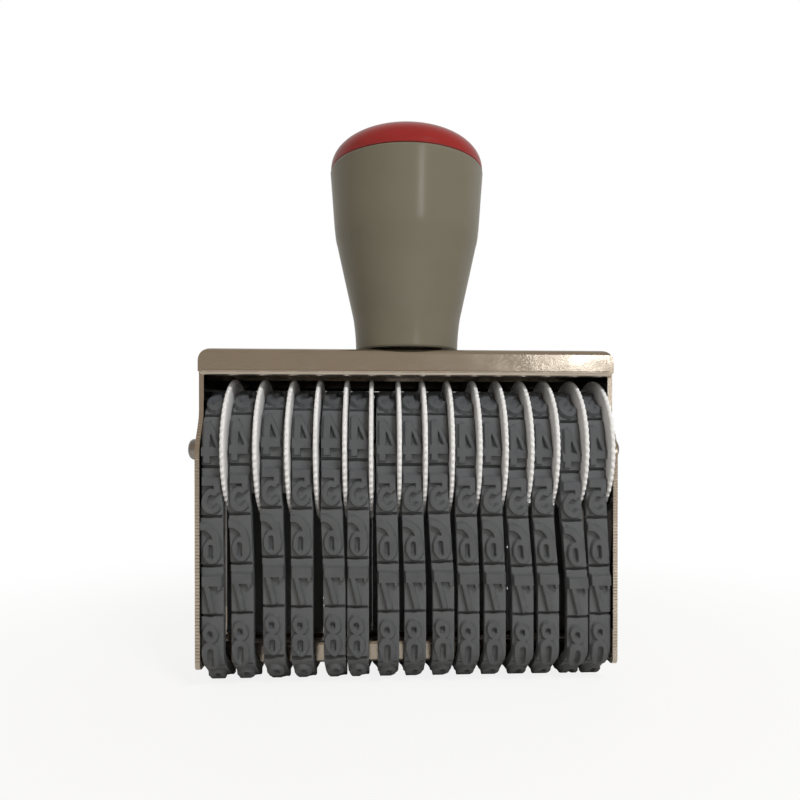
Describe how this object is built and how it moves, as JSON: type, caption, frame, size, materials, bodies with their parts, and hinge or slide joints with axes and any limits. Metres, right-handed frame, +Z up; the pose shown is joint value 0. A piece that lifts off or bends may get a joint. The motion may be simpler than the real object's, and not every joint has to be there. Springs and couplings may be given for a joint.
{
  "type": "numbering machine",
  "caption": "Hand numbering stamp with a turned knob handle, a steel frame and a row of rubber number bands, each turned by its own serrated wheel.",
  "frame": {"origin": "on the printing face, under the middle of the platen and the handle", "axes": "+X along the axle to the right, -Y towards the front, +Z up through the handle"},
  "size_m": [0.0972, 0.034, 0.12],
  "materials": {
    "nickel_steel": "nickel-plated sheet steel, satin",
    "steel": "plain steel, satin",
    "wheel_plastic": "moulded off-white plastic, satin",
    "band_rubber": "dark grey vulcanised rubber, matt",
    "handle_plastic": "olive-grey moulded plastic, semi-gloss",
    "cap_plastic": "red moulded plastic, glossy",
    "washer_fibre": "black fibre, matt"
  },
  "bodies": {
    "stamp": {"frame": "nickel_steel", "platen": "nickel_steel", "axle": "steel", "axle_nut_left": "steel", "axle_nut_right": "steel", "handle_washer": "washer_fibre", "handle_screw": "steel", "handle": "handle_plastic", "handle_cap": "cap_plastic", "band_01": "band_rubber", "band_02": "band_rubber", "band_03": "band_rubber", "band_04": "band_rubber", "band_05": "band_rubber", "band_06": "band_rubber", "band_07": "band_rubber", "band_08": "band_rubber", "band_09": "band_rubber", "band_10": "band_rubber", "band_11": "band_rubber", "band_12": "band_rubber", "band_13": "band_rubber", "band_14": "band_rubber", "band_15": "band_rubber"},
    "wheel_01_body": {"wheel_01": "wheel_plastic"},
    "wheel_02_body": {"wheel_02": "wheel_plastic"},
    "wheel_03_body": {"wheel_03": "wheel_plastic"},
    "wheel_04_body": {"wheel_04": "wheel_plastic"},
    "wheel_05_body": {"wheel_05": "wheel_plastic"},
    "wheel_06_body": {"wheel_06": "wheel_plastic"},
    "wheel_07_body": {"wheel_07": "wheel_plastic"},
    "wheel_08_body": {"wheel_08": "wheel_plastic"},
    "wheel_09_body": {"wheel_09": "wheel_plastic"},
    "wheel_10_body": {"wheel_10": "wheel_plastic"},
    "wheel_11_body": {"wheel_11": "wheel_plastic"},
    "wheel_12_body": {"wheel_12": "wheel_plastic"},
    "wheel_13_body": {"wheel_13": "wheel_plastic"},
    "wheel_14_body": {"wheel_14": "wheel_plastic"},
    "wheel_15_body": {"wheel_15": "wheel_plastic"}
  },
  "joints": [
    {"name": "wheel_01_turn", "type": "hinge", "parent": "stamp", "child": "wheel_01_body", "pos_m": [-0.04015, 0, 0.0498], "axis": [1, 0, 0], "continuous": true},
    {"name": "wheel_02_turn", "type": "hinge", "parent": "stamp", "child": "wheel_02_body", "pos_m": [-0.0336, 0, 0.0498], "axis": [1, 0, 0], "continuous": true},
    {"name": "wheel_03_turn", "type": "hinge", "parent": "stamp", "child": "wheel_03_body", "pos_m": [-0.02721, 0, 0.0498], "axis": [1, 0, 0], "continuous": true},
    {"name": "wheel_04_turn", "type": "hinge", "parent": "stamp", "child": "wheel_04_body", "pos_m": [-0.02143, 0, 0.0498], "axis": [1, 0, 0], "continuous": true},
    {"name": "wheel_05_turn", "type": "hinge", "parent": "stamp", "child": "wheel_05_body", "pos_m": [-0.01548, 0, 0.0498], "axis": [1, 0, 0], "continuous": true},
    {"name": "wheel_06_turn", "type": "hinge", "parent": "stamp", "child": "wheel_06_body", "pos_m": [-0.01007, 0, 0.0498], "axis": [1, 0, 0], "continuous": true},
    {"name": "wheel_07_turn", "type": "hinge", "parent": "stamp", "child": "wheel_07_body", "pos_m": [-0.00423, 0, 0.0498], "axis": [1, 0, 0], "continuous": true},
    {"name": "wheel_08_turn", "type": "hinge", "parent": "stamp", "child": "wheel_08_body", "pos_m": [0.00112, 0, 0.0498], "axis": [1, 0, 0], "continuous": true},
    {"name": "wheel_09_turn", "type": "hinge", "parent": "stamp", "child": "wheel_09_body", "pos_m": [0.00669, 0, 0.0498], "axis": [1, 0, 0], "continuous": true},
    {"name": "wheel_10_turn", "type": "hinge", "parent": "stamp", "child": "wheel_10_body", "pos_m": [0.01236, 0, 0.0498], "axis": [1, 0, 0], "continuous": true},
    {"name": "wheel_11_turn", "type": "hinge", "parent": "stamp", "child": "wheel_11_body", "pos_m": [0.01777, 0, 0.0498], "axis": [1, 0, 0], "continuous": true},
    {"name": "wheel_12_turn", "type": "hinge", "parent": "stamp", "child": "wheel_12_body", "pos_m": [0.02312, 0, 0.0498], "axis": [1, 0, 0], "continuous": true},
    {"name": "wheel_13_turn", "type": "hinge", "parent": "stamp", "child": "wheel_13_body", "pos_m": [0.02852, 0, 0.0498], "axis": [1, 0, 0], "continuous": true},
    {"name": "wheel_14_turn", "type": "hinge", "parent": "stamp", "child": "wheel_14_body", "pos_m": [0.03458, 0, 0.0498], "axis": [1, 0, 0], "continuous": true},
    {"name": "wheel_15_turn", "type": "hinge", "parent": "stamp", "child": "wheel_15_body", "pos_m": [0.04004, 0, 0.0498], "axis": [1, 0, 0], "continuous": true}
  ]
}
